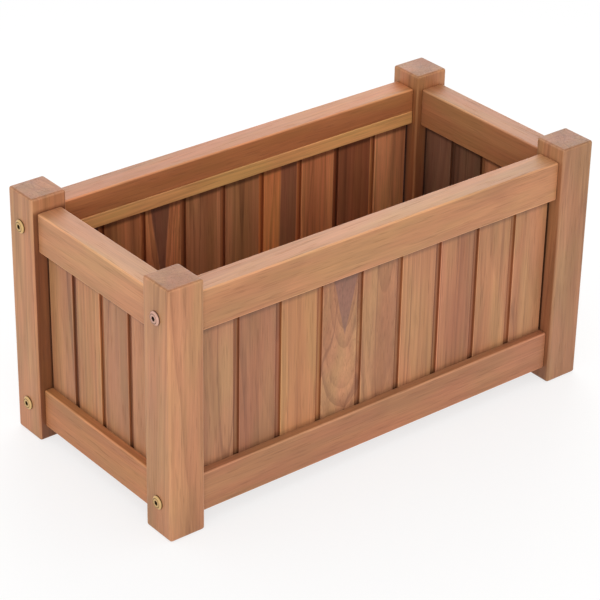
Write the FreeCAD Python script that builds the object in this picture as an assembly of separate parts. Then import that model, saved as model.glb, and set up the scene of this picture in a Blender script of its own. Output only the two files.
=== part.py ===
# Wooden planter box: two glued end frames, two bolted long sides and a drained floor.
# Millimetres, +Z up. The origin is on the ground at the middle of the footprint, X along the long sides.
import FreeCAD, Part
import math
import os
from collections import namedtuple
from FreeCAD import Vector

# Overall size, over the posts
length = 500.0
width = 250.0
height = 257.0

# Posts
post_side = 38.0
post_easing = 1.5
post_rise = 15.0
foot_height = 15.0

# Rails
rail_height = 40.0
rail_thickness = 26.0
rail_setback = 6.0
rail_easing = 1.5

# Slats: tongued boards that stand in the rails, with an open shadow gap at each joint
long_slat_count = 9
short_slat_count = 4
slat_thickness = 10.0
slat_setback = 9.0
slat_gap = 6.5
slat_end_gap = 2.0
slat_easing = 0.7
slat_head_room = 1.0
slat_fit = 0.2
tongue_thickness = 5.0
tongue_reach = 4.0
tongue_spare = 0.6
tongue_fit = 0.1

# Groove that holds the slats, and the rebate and stop bead of the long top rails
groove_depth = 10.0
rebate_height = 15.5
bead_height = 13.5
bead_easing = 1.0
bead_end_gap = 0.5

# Glued tenons of the end rails
tenon_thickness = 10.0
tenon_shoulder = 4.0
tenon_bolt_wall = 2.5
tenon_fit = 0.1
tenon_spare = 0.6

# Connector bolts, and the insert nuts in the ends of the long rails
bolt_diameter = 6.0
bolt_bore_fit = 0.3
bolt_head_diameter = 14.5
bolt_head_height = 2.6
bolt_head_rim = 1.2
bolt_head_bevel = 1.6
bolt_socket_width = 4.0
bolt_socket_depth = 2.2
insert_diameter = 9.0
insert_length = 15.0
insert_wall = 1.0
insert_fit = 0.05
insert_flat_count = 12
thread_fit = 0.05

# Floor boards and the ledgers that carry them
floor_board_count = 9
floor_board_thickness = 12.0
floor_gap = 5.0
floor_side_gap = 1.0
floor_end_gap = 1.0
floor_easing = 1.0
ledger_width = 15.0
ledger_height = 18.0
ledger_lift = 5.0
ledger_end_gap = 1.0
ledger_easing = 1.0

# Countersunk wood screws
screw_diameter = 3.5
screw_head_diameter = 6.8
screw_head_depth = 1.9
screw_point = 3.0
screw_fit = 0.1
screw_flat_count = 8
ledger_screw_bite = 14.0
floor_screw_bite = 10.0

# How far a cutting shape passes the face that it cuts
overrun = 3.0

# Angles and directions
half_turn = 180.0
quarter_turn = 90.0
full_turn = 360.0
hexagon_sides = 6
origin = Vector(0, 0, 0)
along = Vector(1, 0, 0)
inward = Vector(0, 1, 0)
up = Vector(0, 0, 1)

# Places that follow from the sizes
half_length = length / 2
half_width = width / 2
long_clear = length - 2 * post_side
short_clear = width - 2 * post_side
bottom_base = foot_height
top_base = height - post_rise - rail_height
rail_middle = rail_thickness / 2
bolt_drop = rail_height - rebate_height - insert_wall - insert_diameter / 2
bolt_levels = (bottom_base + bolt_drop, top_base + rail_height - bolt_drop)
bolt_radius = bolt_diameter / 2
insert_radius = insert_diameter / 2
tenon_length = post_side - rail_setback - rail_middle - bolt_radius - bolt_bore_fit - tenon_bolt_wall
ledger_base = bottom_base + ledger_lift
floor_base = ledger_base + ledger_height
floor_top = floor_base + floor_board_thickness
floor_pitch = (long_clear - 2 * floor_side_gap + floor_gap) / floor_board_count
floor_reach = half_width - rail_setback - rail_thickness - floor_end_gap

# A wall is worked out standing on the X axis with its outer face at y = 0, then turned to its side.
# span is the clear width between the posts, reach the distance from the centre to the rails' outer face.
Wall = namedtuple("Wall", "name turn span reach slat_count is_long")
walls = (
    Wall("front", 0, long_clear, half_width - rail_setback, long_slat_count, True),
    Wall("right", quarter_turn, short_clear, half_length - rail_setback, short_slat_count, False),
    Wall("back", half_turn, long_clear, half_width - rail_setback, long_slat_count, True),
    Wall("left", -quarter_turn, short_clear, half_length - rail_setback, short_slat_count, False),
)
long_walls = [wall for wall in walls if wall.is_long]
short_walls = [wall for wall in walls if not wall.is_long]


def placed(shape, wall):
    """Move a shape from the wall's own frame to its side of the box."""
    return shape.translated(Vector(0, -wall.reach, 0)).rotated(origin, up, wall.turn)


def box(low, high):
    """Plain box between two opposite corners."""
    return Part.makeBox(high.x - low.x, high.y - low.y, high.z - low.z, low)


def eased_box(low, high, easing):
    """Box between two opposite corners, with all its edges planed off."""
    block = box(low, high)
    return block.makeChamfer(easing, block.Edges)


def eased_face(corners):
    """Flat face through (x, y, easing) corners, each planed off by its easing."""
    points = [Vector(x, y, 0) for x, y, _ in corners]
    outline = []
    for index, (_, _, easing) in enumerate(corners):
        corner = points[index]
        back = (points[index - 1] - corner).normalize()
        ahead = (points[(index + 1) % len(points)] - corner).normalize()
        outline += [corner + back * easing, corner + ahead * easing] if easing else [corner]
    return Part.Face(Part.makePolygon(outline + outline[:1]))


def revolved(profile):
    """Solid of revolution about the Z axis from an (r, z) profile that starts and ends on the axis."""
    points = [Vector(r, 0, z) for r, z in profile]
    face = Part.Face(Part.makePolygon(points + points[:1]))
    return face.revolve(origin, up, full_turn)


def faceted(profile, flats):
    """Like revolved, but worked in flats, which keeps small hidden pieces light."""
    turns = [2 * math.pi * flat / flats for flat in range(flats)]
    rings = [[Vector(r * math.cos(turn), r * math.sin(turn), z) for turn in turns] for r, z in profile]
    faces = []
    for ring, next_ring in zip(rings, rings[1:]):
        for flat in range(flats):
            loop = [ring[flat - 1], ring[flat], next_ring[flat], next_ring[flat - 1]]
            corners = [corner for index, corner in enumerate(loop) if corner != loop[index - 1]]
            faces.append(Part.Face(Part.makePolygon(corners + corners[:1])))
    return Part.Solid(Part.Shell(faces))


def post(x_side, y_side):
    """Square post at one corner, before its bores and mortises are cut."""
    x_middle = x_side * (half_length - post_side / 2)
    y_middle = y_side * (half_width - post_side / 2)
    half = Vector(post_side / 2, post_side / 2, 0)
    foot = Vector(x_middle, y_middle, 0)
    return eased_box(foot - half, foot + half + Vector(0, 0, height), post_easing)


def tenon(wall, base, end, fit, spare):
    """Stub tenon at one end of an end rail, grown by a fit for its mortise."""
    is_top = base == top_base
    low = base + tenon_shoulder + (groove_depth if is_top else 0) - fit
    high = base + rail_height - tenon_shoulder - (0 if is_top else groove_depth) + fit
    near = rail_middle - tenon_thickness / 2 - fit
    far = rail_middle + tenon_thickness / 2 + fit
    root = wall.span / 2 - overrun
    tip = wall.span / 2 + tenon_length + spare
    left = root if end > 0 else -tip
    right = tip if end > 0 else -root
    return box(Vector(left, near, low), Vector(right, far, high))


def slat_groove(wall, base):
    """Cutter for the groove in a rail: in the underside of a top rail, in the top of a bottom rail."""
    reach = wall.span / 2 + overrun
    if base == top_base:
        low, high = base - overrun, base + groove_depth
    else:
        low, high = base + rail_height - groove_depth, base + rail_height + overrun
    near = slat_setback - slat_fit
    far = slat_setback + slat_thickness + slat_fit
    return box(Vector(-reach, near, low), Vector(reach, far, high))


def slat_rebate(wall):
    """Cutter for the rebate in a long top rail, open to the inside for the slats and the stop bead."""
    reach = wall.span / 2 + overrun
    low = Vector(-reach, slat_setback, top_base - overrun)
    high = Vector(reach, rail_thickness + overrun, top_base + rebate_height)
    return box(low, high)


def insert_blank(wall, end, level, radius, low, high):
    """Rod in flats along a long rail's end, between two depths below the rail's end face."""
    outer = radius / math.cos(math.pi / insert_flat_count)
    rod = faceted([(0, -high), (outer, -high), (outer, -low), (0, -low)], insert_flat_count)
    mouth = Vector(end * wall.span / 2, rail_middle, level)
    return rod.rotated(origin, inward, end * quarter_turn).translated(mouth)


def insert_socket(wall, end, level):
    """Cutter for the hole in a long rail's end that an insert nut is pressed into."""
    return insert_blank(wall, end, level, insert_radius + insert_fit, -overrun, insert_length + insert_fit)


def insert_nut(wall, end, level):
    """Sleeve in a long rail's end, bored for the bolt."""
    bore = insert_blank(wall, end, level, bolt_radius + thread_fit, -overrun, insert_length + overrun)
    return insert_blank(wall, end, level, insert_radius, 0, insert_length).cut(bore)


def rail(wall, base):
    """Top or bottom rail of one wall, in the wall's own frame."""
    half = wall.span / 2
    bar = eased_box(Vector(-half, 0, base), Vector(half, rail_thickness, base + rail_height), rail_easing)
    has_rebate = wall.is_long and base == top_base
    bar = bar.cut(slat_rebate(wall) if has_rebate else slat_groove(wall, base))
    if wall.is_long:
        level = bolt_levels[1] if base == top_base else bolt_levels[0]
        holes = [insert_socket(wall, end, level) for end in (-1, 1)]
        if base == bottom_base:
            holes += ledger_screw_holes()
        bar = bar.cut(holes)
    else:
        bar = bar.fuse([tenon(wall, base, end, 0, 0) for end in (-1, 1)])
    return bar.removeSplitter()


def slat_plan(face_width, has_groove, has_tongue):
    """Plan of one slat: eased faces, a groove in its left edge and a tongue on its right edge."""
    left = -face_width / 2
    right = face_width / 2
    front_cheek = (slat_thickness - tongue_thickness) / 2
    back_cheek = (slat_thickness + tongue_thickness) / 2
    corners = [(left, 0, slat_easing), (right, 0, slat_easing)]
    if has_tongue:
        tip = right + slat_gap + tongue_reach
        corners += [(right, front_cheek, 0), (tip, front_cheek, 0)]
        corners += [(tip, back_cheek, 0), (right, back_cheek, 0)]
    corners += [(right, slat_thickness, slat_easing), (left, slat_thickness, slat_easing)]
    if has_groove:
        floor = left + tongue_reach + tongue_spare
        lip_back = back_cheek + tongue_fit
        lip_front = front_cheek - tongue_fit
        corners += [(left, lip_back, 0), (floor, lip_back, 0), (floor, lip_front, 0), (left, lip_front, 0)]
    return eased_face(corners)


def slats(wall):
    """All the slats of one wall, from left to right as seen from outside."""
    pitch = (wall.span - 2 * slat_end_gap + slat_gap) / wall.slat_count
    foot = bottom_base + rail_height - groove_depth
    head = top_base + (rebate_height if wall.is_long else groove_depth) - slat_head_room
    boards = []
    for index in range(wall.slat_count):
        is_first = index == 0
        is_last = index == wall.slat_count - 1
        board = slat_plan(pitch - slat_gap, not is_first, not is_last).extrude(up * (head - foot))
        middle = (index - (wall.slat_count - 1) / 2) * pitch
        boards.append(board.translated(Vector(middle, slat_setback, foot)))
    return boards


def stop_bead(wall):
    """Strip that closes the rebate of a long top rail behind the slats."""
    half = wall.span / 2 - bead_end_gap
    top = top_base + rebate_height
    low = Vector(-half, slat_setback + slat_thickness, top - bead_height)
    high = Vector(half, rail_thickness, top)
    return eased_box(low, high, bead_easing)


def connector_bolt(wall, end, level):
    """Bolt through a post into a long rail's end: bevelled flat head with a hexagon socket."""
    head_radius = bolt_head_diameter / 2
    stem = post_side + insert_length
    body = revolved([
        (0, -stem),
        (bolt_radius, -stem),
        (bolt_radius, 0),
        (head_radius, 0),
        (head_radius, bolt_head_rim),
        (head_radius - bolt_head_bevel, bolt_head_height),
        (0, bolt_head_height),
    ])
    socket_radius = bolt_socket_width / 2 / math.cos(math.pi / hexagon_sides)
    turns = [2 * math.pi * side / hexagon_sides for side in range(hexagon_sides + 1)]
    floor = bolt_head_height - bolt_socket_depth
    radial = [Vector(math.cos(turn), math.sin(turn), 0) for turn in turns]
    hexagon = [spoke * socket_radius + Vector(0, 0, floor) for spoke in radial]
    socket = Part.Face(Part.makePolygon(hexagon)).extrude(up * (bolt_socket_depth + overrun))
    bolt = body.cut(socket).rotated(origin, inward, end * quarter_turn)
    return bolt.translated(Vector(end * (wall.span / 2 + post_side), rail_middle, level))


def bolt_bore(wall, end, level):
    """Cutter for a bolt's hole through its post."""
    mouth = Vector(end * (wall.span / 2 - overrun), rail_middle, level)
    depth = post_side + 2 * overrun
    return Part.makeCylinder(bolt_radius + bolt_bore_fit, depth, mouth, along * end)


def wood_screw(stem, fit):
    """Countersunk screw pointing down with its head's face at z = 0, grown by a fit for its hole."""
    shank = screw_diameter / 2 + fit
    head = screw_head_diameter / 2 + fit
    profile = [
        (0, -stem - fit),
        (shank, screw_point - stem),
        (shank, -screw_head_depth),
        (head, 0),
        (0, 0),
    ]
    return faceted(profile, screw_flat_count)


def floor_board_middles():
    """X places of the floor boards' middles."""
    return [(index - (floor_board_count - 1) / 2) * floor_pitch for index in range(floor_board_count)]


def ledger_screw_places():
    """X places of a ledger's screws: below four of the gaps between the floor boards."""
    middles = floor_board_middles()
    gaps = [middle + floor_pitch / 2 for middle in middles[:-1]]
    third = len(gaps) // 3
    return sorted({gaps[0], gaps[third], gaps[-1 - third], gaps[-1]})


def ledger_screw(place, fit):
    """Screw that goes outwards through a ledger into its rail, in the wall's own frame."""
    level = ledger_base + ledger_height / 2
    screw = wood_screw(ledger_width + ledger_screw_bite, fit).rotated(origin, along, -quarter_turn)
    return screw.translated(Vector(place, rail_thickness + ledger_width, level))


def ledger_screw_holes():
    """Cutters for the screw holes of a ledger and its bottom rail, in the wall's own frame."""
    return [ledger_screw(place, screw_fit) for place in ledger_screw_places()]


def floor_screw(x_place, y_side, fit):
    """Screw that goes down through a floor board into a ledger."""
    y_place = y_side * (half_width - rail_setback - rail_thickness - ledger_width / 2)
    screw = wood_screw(floor_board_thickness + floor_screw_bite, fit)
    return screw.translated(Vector(x_place, y_place, floor_top))


def floor_ledger(wall):
    """Batten on the inner face of a long bottom rail, in the wall's own frame, before the floor screws."""
    half = wall.span / 2 - ledger_end_gap
    low = Vector(-half, rail_thickness, ledger_base)
    high = Vector(half, rail_thickness + ledger_width, floor_base)
    return eased_box(low, high, ledger_easing).cut(ledger_screw_holes())


def floor_board(x_place):
    """Board laid across both ledgers, drilled for its two screws."""
    half = (floor_pitch - floor_gap) / 2
    low = Vector(x_place - half, -floor_reach, floor_base)
    high = Vector(x_place + half, floor_reach, floor_top)
    holes = [floor_screw(x_place, y_side, screw_fit) for y_side in (-1, 1)]
    return eased_box(low, high, floor_easing).cut(holes)


def fastener_places():
    """Wall, end and height of each connector bolt."""
    return [(wall, end, level) for wall in long_walls for end in (-1, 1) for level in bolt_levels]


def frame_nodes():
    """Posts and rails."""
    bores = [placed(bolt_bore(*place), place[0]) for place in fastener_places()]
    mortises = [
        placed(tenon(wall, base, end, tenon_fit, tenon_spare), wall)
        for wall in short_walls for base in (bottom_base, top_base) for end in (-1, 1)
    ]
    nodes = {}
    for y_name, y_side in (("front", -1), ("back", 1)):
        for x_name, x_side in (("left", -1), ("right", 1)):
            nodes[f"post_{y_name}_{x_name}"] = post(x_side, y_side).cut(bores + mortises)
    for wall in walls:
        nodes[f"bottom_rail_{wall.name}"] = placed(rail(wall, bottom_base), wall)
        nodes[f"top_rail_{wall.name}"] = placed(rail(wall, top_base), wall)
    return nodes


def panel_nodes():
    """Slats of all four walls, and the stop beads of the long ones."""
    nodes = {}
    for wall in walls:
        for number, board in enumerate(slats(wall), start=1):
            nodes[f"slat_{wall.name}_{number}"] = placed(board, wall)
    for wall in long_walls:
        nodes[f"stop_bead_{wall.name}"] = placed(stop_bead(wall), wall)
    return nodes


def floor_nodes():
    """Ledgers and floor boards."""
    holes = [floor_screw(x, side, screw_fit) for x in floor_board_middles() for side in (-1, 1)]
    nodes = {}
    for wall in long_walls:
        nodes[f"floor_ledger_{wall.name}"] = placed(floor_ledger(wall), wall).cut(holes)
    for number, x_place in enumerate(floor_board_middles(), start=1):
        nodes[f"floor_board_{number}"] = floor_board(x_place)
    return nodes


def fastener_nodes():
    """Bolts, insert nuts and screws, each kind as one group of separate solids."""
    bolts = [placed(connector_bolt(*place), place[0]) for place in fastener_places()]
    inserts = [placed(insert_nut(*place), place[0]) for place in fastener_places()]
    ledger_screws = [placed(ledger_screw(x, 0), wall) for wall in long_walls for x in ledger_screw_places()]
    floor_screws = [floor_screw(x, side, 0) for x in floor_board_middles() for side in (-1, 1)]
    return {
        "connector_bolts": Part.makeCompound(bolts),
        "insert_nuts": Part.makeCompound(inserts),
        "ledger_screws": Part.makeCompound(ledger_screws),
        "floor_screws": Part.makeCompound(floor_screws),
    }


os.makedirs("parts", exist_ok=True)
nodes = {**frame_nodes(), **panel_nodes(), **floor_nodes(), **fastener_nodes()}
for name, shape in nodes.items():
    shape.exportStep(f"parts/{name}.step")
print(len(nodes), "nodes,", sum(len(shape.Solids) for shape in nodes.values()), "solids")
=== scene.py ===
"""Looks of a slatted teak planter box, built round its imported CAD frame. Lengths are in metres."""
import logging
import math
from abc import ABC, abstractmethod
from dataclasses import dataclass, field
from enum import Enum
from functools import cached_property
from typing import Sequence

import bmesh
import bpy
from mathutils import Matrix, Vector


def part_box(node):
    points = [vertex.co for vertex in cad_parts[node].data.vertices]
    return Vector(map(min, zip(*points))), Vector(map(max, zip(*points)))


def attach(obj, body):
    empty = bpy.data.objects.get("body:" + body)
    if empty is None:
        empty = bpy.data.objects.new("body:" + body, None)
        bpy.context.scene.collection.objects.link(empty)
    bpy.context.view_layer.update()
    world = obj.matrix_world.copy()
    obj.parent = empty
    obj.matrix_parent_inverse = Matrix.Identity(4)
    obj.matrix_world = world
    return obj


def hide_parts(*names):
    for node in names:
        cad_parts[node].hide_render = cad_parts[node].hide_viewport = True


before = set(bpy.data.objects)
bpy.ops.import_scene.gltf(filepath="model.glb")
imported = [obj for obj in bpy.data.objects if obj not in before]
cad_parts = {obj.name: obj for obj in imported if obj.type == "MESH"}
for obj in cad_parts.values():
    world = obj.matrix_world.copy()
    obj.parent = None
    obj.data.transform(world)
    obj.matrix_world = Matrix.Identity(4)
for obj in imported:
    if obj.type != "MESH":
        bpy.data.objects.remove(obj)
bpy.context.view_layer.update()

MM = 0.001
BODY = "root"
QUARTER = math.pi / 2
SHARP_FROM = 50.0
FACE_WEIGHT = 100
WHITE = (1, 1, 1)
UP = Vector((0, 0, 1))
LAID = Matrix(((0, 0, -1, 0), (0, 1, 0, 0), (1, 0, 0, 0), (0, 0, 0, 1)))
Pair = tuple[float, float]
Triple = tuple[float, float, float]
Socket = bpy.types.NodeSocket

log = logging.getLogger("planter")


class Side(Enum):
    """A wall of the box, with its turn about the upright axis in degrees."""

    FRONT = 0
    RIGHT = 90
    BACK = 180
    LEFT = -90

    @property
    def turn(self) -> float:
        """Turn of the wall from the front, in radians."""
        return math.radians(self.value)

    @property
    def is_long(self) -> bool:
        """Whether this is one of the two long walls."""
        return self in (Side.FRONT, Side.BACK)

    @property
    def word(self) -> str:
        """The wall's name as the CAD nodes spell it."""
        return self.name.lower()


class Level(Enum):
    """Which of a wall's two rails is meant."""

    TOP = "top"
    BOTTOM = "bottom"


class Tone(Enum):
    """Tint of one board, which its wood colour is multiplied by."""

    EVEN = (1.0, 1.0, 1.0)
    PALE = (1.06, 1.05, 1.0)
    HONEY = (1.06, 1.04, 0.92)
    STRAW = (1.15, 1.13, 1.0)
    SILVER = (1.02, 1.05, 1.08)
    PEARL = (1.12, 1.15, 1.18)
    BLOND = (1.34, 1.34, 1.32)
    ROSE = (0.96, 0.88, 0.9)
    MAUVE = (0.78, 0.71, 0.74)
    GREY = (0.92, 0.95, 0.98)
    HAZEL = (0.92, 0.9, 0.88)
    TAWNY = (0.95, 0.9, 0.82)
    RUSSET = (0.95, 0.84, 0.74)
    COPPER = (1.05, 0.92, 0.74)
    UMBER = (0.8, 0.78, 0.76)
    APRICOT = (1.2, 1.03, 0.96)
    GILT = (1.48, 1.3, 1.05)
    CHESTNUT = (0.97, 0.8, 0.64)
    PLUM = (0.91, 0.84, 0.86)
    # The two darkest tints paint the shade inside the box on the boards' inner faces.
    SOOT = (0.68, 0.54, 0.54)
    SLATE = (0.4, 0.46, 0.6)


class Cut(Enum):
    """How a board was sawn: the log's heart sideways and behind its middle, and the lean along it."""

    QUARTERED = (0.085, 0.012, 0.01)
    PLAIN = (0.016, 0.06, 0.03)
    CROWN = (0.004, 0.03, 0.09)
    HEART = (0.0065, 0.0439, 0.235)
    PITHY = (0.0185, 0.0, 0.0)


class Noise(Enum):
    """A noise of a finish: its waves per metre across and along the grain, and its detail."""

    WIDE = (15, 2.6, 2)
    SMALL = (85, 13, 2)
    BROAD = (46, 1.8, 3)
    PATCH = (16, 5, 2)
    STREAK = (150, 2.0, 3)
    VEIN = (24, 0.9, 1)
    MOTTLE = (34, 9, 3)
    FIBRE = (850, 18, 2)
    PORE = (760, 30, 1)
    STAIN = (48, 1.9, 4)
    THREAD = (480, 15, 2)
    CAST = (52, 11, 1)
    HAZE = (60, 60, 2)
    SCUFF = (900, 900, 2)


@dataclass(frozen=True)
class BoardLook:
    """Tone, cut and place in the log of one board."""

    tone: Tone
    cut: Cut
    number: int
    flip: bool = False
    figure: float = 1.0
    wander: float = 0.35
    wander_turn: float = 2.4
    log_shift: float = -0.61

    @property
    def pith(self) -> Triple:
        """The log's heart in the board's own frame, and the shift along the grain that sets boards apart.

        Returns:
            The heart's place across and through the board, and the shift.
        """
        sideways, behind, _ = self.cut.value
        spread = 1 + self.wander * math.sin(self.wander_turn * self.number)
        sign = -1 if self.flip else 1
        return sign * sideways * spread, sign * behind, self.log_shift * self.number

    @property
    def lean(self) -> float:
        """Slope of the board's grain towards the log's heart."""
        return self.cut.value[2]


def numbered(first: int, *choices: tuple) -> tuple[BoardLook, ...]:
    """Looks of boards that are numbered in turn, from the tone, cut, flip and figure of each."""
    return tuple(BoardLook(*kind[:2], number, *kind[2:]) for number, kind in enumerate(choices, first))


class Wire:
    """A number, a vector or a shape on its way through a node tree, with plain arithmetic."""

    def __init__(self, bench: "NodeBench", socket: Socket) -> None:
        """Take an output and the bench of its tree."""
        self.bench = bench
        self.socket = socket

    @property
    def is_vector(self) -> bool:
        """Whether this is a vector or a colour."""
        return self.socket.type in ("VECTOR", "RGBA")

    def then(self, operation: str, *others: object) -> "Wire":
        """Result of a Math or Vector Math node on this wire and others."""
        kind = "ShaderNodeVectorMath" if self.is_vector else "ShaderNodeMath"
        return self.bench.wire(kind, dict(enumerate((self, *others))), operation=operation)

    def measure(self, operation: str, *others: object) -> "Wire":
        """Number that a Vector Math node makes of this wire and others."""
        inputs = dict(enumerate((self, *others)))
        return self.bench.wire("ShaderNodeVectorMath", inputs, "Value", operation=operation)

    def __add__(self, other: object) -> "Wire":
        """Sum."""
        return self.then("ADD", other)

    def __sub__(self, other: object) -> "Wire":
        """Difference."""
        return self.then("SUBTRACT", other)

    def __mul__(self, other: object) -> "Wire":
        """Product."""
        return self.then("MULTIPLY", other)

    def __truediv__(self, other: object) -> "Wire":
        """Quotient."""
        return self.then("DIVIDE", other)

    def __abs__(self) -> "Wire":
        """Size without its sign."""
        return self.then("ABSOLUTE")

    def line(self, slope: float, base: object) -> "Wire":
        """This number times a slope, plus a base."""
        return self.then("MULTIPLY_ADD", slope, base)

    def step(self, low: float, high: float) -> "Wire":
        """Smooth rise from 0 to 1 as this number goes from low to high."""
        inputs = {0: self, 1: low, 2: high}
        return self.bench.wire("ShaderNodeMapRange", inputs, interpolation_type="SMOOTHSTEP")

    def parts(self) -> list["Wire"]:
        """The three numbers of this vector."""
        return [Wire(self.bench, part) for part in self.bench.add("ShaderNodeSeparateXYZ", {0: self}).outputs]


class NodeBench:
    """Adds and links the nodes of one tree."""

    def __init__(self, tree: bpy.types.NodeTree) -> None:
        """Take the tree to work on."""
        self.tree = tree

    def add(self, kind: str, inputs: dict | None = None, **settings: object) -> bpy.types.Node:
        """Add one node.

        Args:
            kind: Blender's name of the node's type.
            inputs: Input values or wires by name or index.
            settings: Properties of the node.

        Returns:
            The new node.
        """
        node = self.tree.nodes.new(kind)
        for name, value in settings.items():
            setattr(node, name, value)
        for key, value in (inputs or {}).items():
            self.feed(node.inputs[key], value)
        return node

    def wire(self, kind: str, inputs: dict | None = None, output: int | str = 0, **settings: object) -> Wire:
        """Add one node and take one of its outputs."""
        return Wire(self, self.add(kind, inputs, **settings).outputs[output])

    def feed(self, socket: Socket, value: object) -> None:
        """Link an input to a wire, or set the input's own value.

        Args:
            socket: The input.
            value: A wire, or a value. A colour has three numbers and is opaque.
        """
        if isinstance(value, Wire):
            self.tree.links.new(value.socket, socket)
        else:
            socket.default_value = (*value, 1) if socket.type == "RGBA" else value

    @cached_property
    def given(self) -> dict[str, Wire]:
        """The group's inputs by name."""
        return {output.name: Wire(self, output) for output in self.add("NodeGroupInput").outputs if output.name}

    def mark(self, name: str, output: str = "Fac") -> Wire:
        """Attribute of a mesh, in a shader tree."""
        return self.wire("ShaderNodeAttribute", {}, output, attribute_name=name)

    def spot(self) -> Wire:
        """Place in the piece's own frame, in a shader tree."""
        return self.wire("ShaderNodeTexCoord", {}, "Object")

    def blend(self, factor: object, first: object, second: object) -> Wire:
        """Colour between two colours."""
        return self.wire("ShaderNodeMix", {0: factor, 6: first, 7: second}, 2, data_type="RGBA")

    def mix(self, factor: object, first: Wire, second: Wire) -> Wire:
        """Surface between two surfaces."""
        return self.wire("ShaderNodeMixShader", {0: factor, 1: first, 2: second})

    def bump(self, strength: float, distance: float, height: Wire) -> Wire:
        """Normal of a surface with fine relief."""
        return self.wire("ShaderNodeBump", {"Strength": strength, "Distance": distance, "Height": height})

    def noise(self, place: Wire, noise: Noise, output: str = "Fac") -> Wire:
        """Noise at a place, stretched along the grain.

        Args:
            place: Where it is read.
            noise: Which noise.
            output: Number or colour, as the node names it.

        Returns:
            The noise.
        """
        across, along, detail = noise.value
        stretched = place * (across, across, along)
        return self.wire("ShaderNodeTexNoise", {"Vector": stretched, "Scale": 1.0, "Detail": detail}, output)

    def combined(self, **parts: object) -> Wire:
        """Vector of the parts X, Y and Z that are given, with nought for the others."""
        return self.wire("ShaderNodeCombineXYZ", parts)

    def stored(self, shape: Wire, marks: dict[str, Wire]) -> Wire:
        """Store attributes on a shape.

        Args:
            shape: The shape.
            marks: Value of each attribute by name.

        Returns:
            The shape with its attributes.
        """
        for name, value in marks.items():
            kind = "FLOAT_VECTOR" if value.is_vector else "FLOAT"
            inputs = {"Geometry": shape, "Name": name, "Value": value}
            shape = self.wire("GeometryNodeStoreNamedAttribute", inputs, data_type=kind)
        return shape

    def named(self, name: str, kind: str) -> Wire:
        """Attribute of a shape, in a Geometry Nodes tree."""
        return self.wire("GeometryNodeInputNamedAttribute", {"Name": name}, data_type=kind)


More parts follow.
